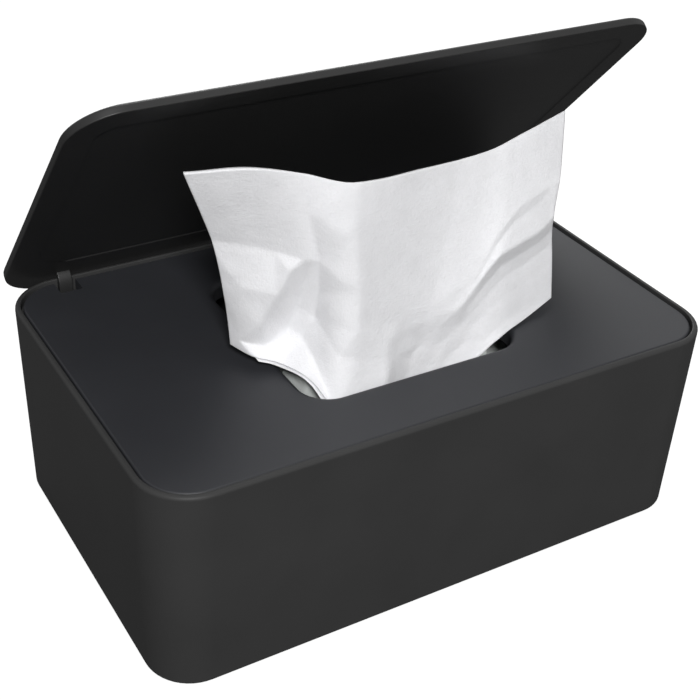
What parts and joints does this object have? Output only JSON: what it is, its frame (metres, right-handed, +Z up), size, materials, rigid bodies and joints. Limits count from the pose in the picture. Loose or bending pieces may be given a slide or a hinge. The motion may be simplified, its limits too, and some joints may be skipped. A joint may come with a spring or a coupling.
{
  "type": "wipes dispenser",
  "caption": "Countertop wipes box with a moulded body, a lift-out cover panel with a rolled opening, a hinged flat lid and a folded stack with one wipe pulled up.",
  "frame": {"origin": "centre of the base, on the surface that the box stands on", "axes": "+X to the right along the box's long side, +Y towards the hinge at the back, +Z up"},
  "size_m": [0.19, 0.1302, 0.1557],
  "materials": {
    "body_plastic": "fine matte texture, near black",
    "panel_plastic": "fine matte texture, near black with a faint blue cast",
    "lid_plastic": "smooth matte, near black",
    "pad_rubber": "dull soft rubber",
    "pin_steel": "drawn steel wire",
    "wipe_cloth": "white non-woven cloth, soft and slightly fibrous"
  },
  "bodies": {
    "box": {"body_shell": "body_plastic", "foot_pad_front_left": "pad_rubber", "foot_pad_front_right": "pad_rubber", "foot_pad_rear_left": "pad_rubber", "foot_pad_rear_right": "pad_rubber", "wipe_stack": "wipe_cloth", "next_wipe": "wipe_cloth"},
    "panel": {"inner_panel": "panel_plastic", "hinge_pin_left": "pin_steel", "hinge_pin_right": "pin_steel", "raised_wipe": "wipe_cloth"},
    "lid": {"lid": "lid_plastic"}
  },
  "joints": [
    {"name": "panel_lift", "type": "slide", "parent": "box", "child": "panel", "axis": [0, 0, 1], "range_m": [0, 0.05]},
    {"name": "lid_hinge", "type": "hinge", "parent": "panel", "child": "lid", "pos_m": [0, 0.057, 0.061], "axis": [1, 0, 0], "range_deg": [0, 48.65], "deforming": ["raised_wipe"]}
  ]
}
